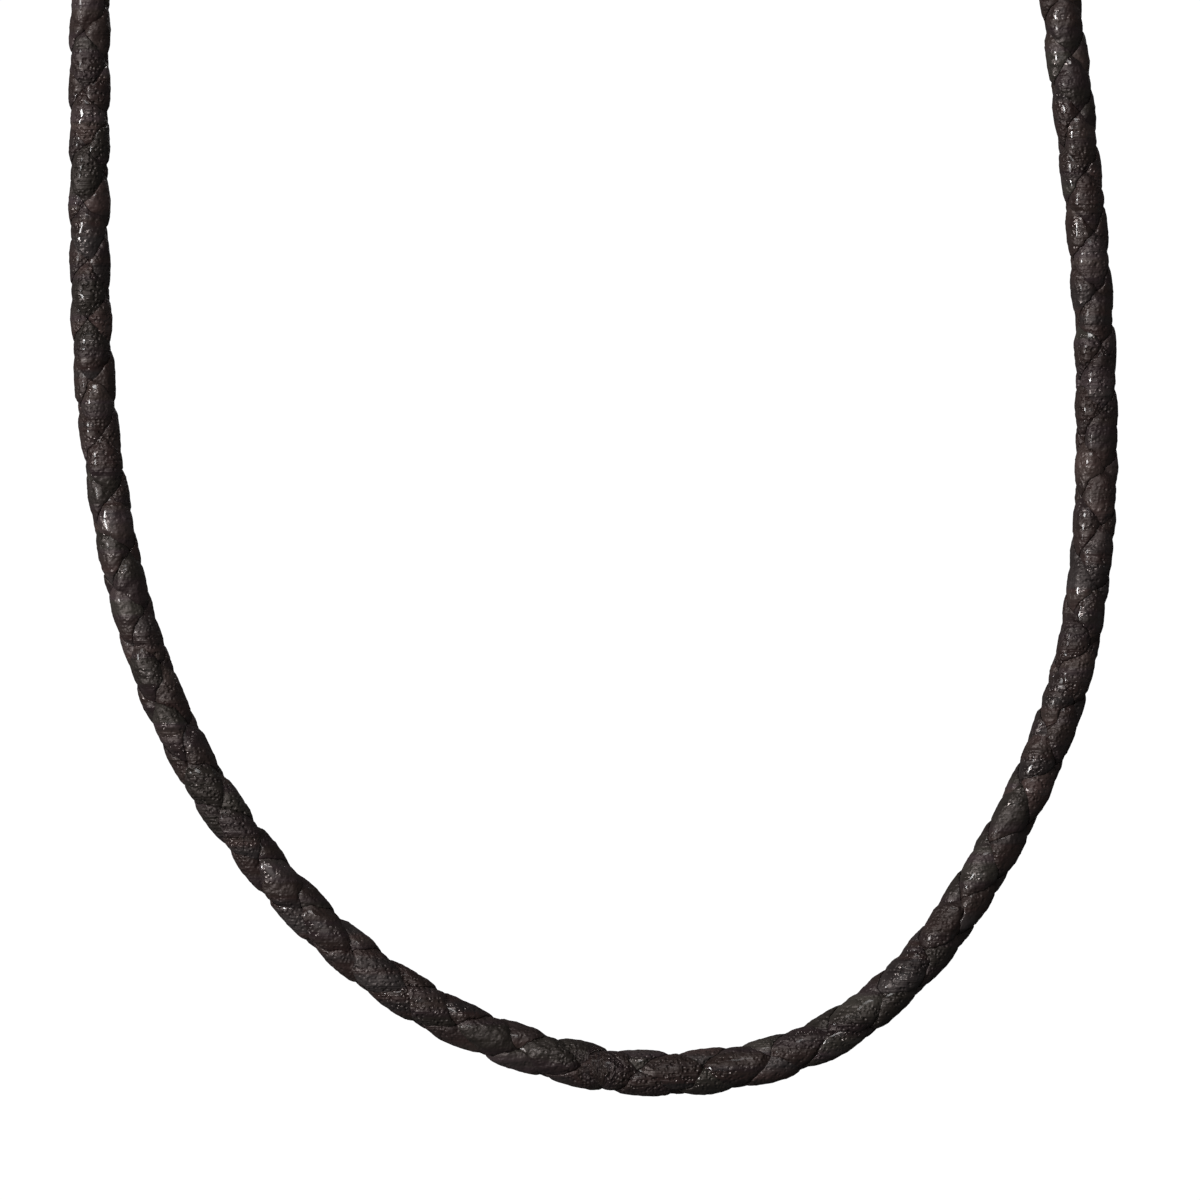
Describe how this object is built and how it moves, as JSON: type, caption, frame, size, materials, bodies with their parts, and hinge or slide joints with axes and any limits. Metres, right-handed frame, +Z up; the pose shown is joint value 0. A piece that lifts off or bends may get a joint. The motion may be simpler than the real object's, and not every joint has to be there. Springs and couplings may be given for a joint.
{
  "type": "braided leather cord necklace",
  "caption": "Dark brown round braided leather cord necklace, a plain closed loop that hangs in a long U, with its ends seated in a plain barrel clasp at the nape.",
  "frame": {"origin": "at the nape, on the underside of the barrel clasp, where the worn necklace hangs", "axes": "+Z up, from the lowest point of the loop towards the nape; the loop lies in the XZ plane and its front faces -Y; +X is to the right as seen from the front"},
  "size_m": [0.0976, 0.006, 0.185],
  "materials": {
    "braided_leather": "very dark brown, waxed and glossy, mottled",
    "polished_steel": "plain polished"
  },
  "bodies": {
    "root": {"lace_right_1": "braided_leather", "lace_right_2": "braided_leather", "lace_left_1": "braided_leather", "lace_left_2": "braided_leather", "barrel_clasp": "polished_steel"}
  },
  "joints": []
}
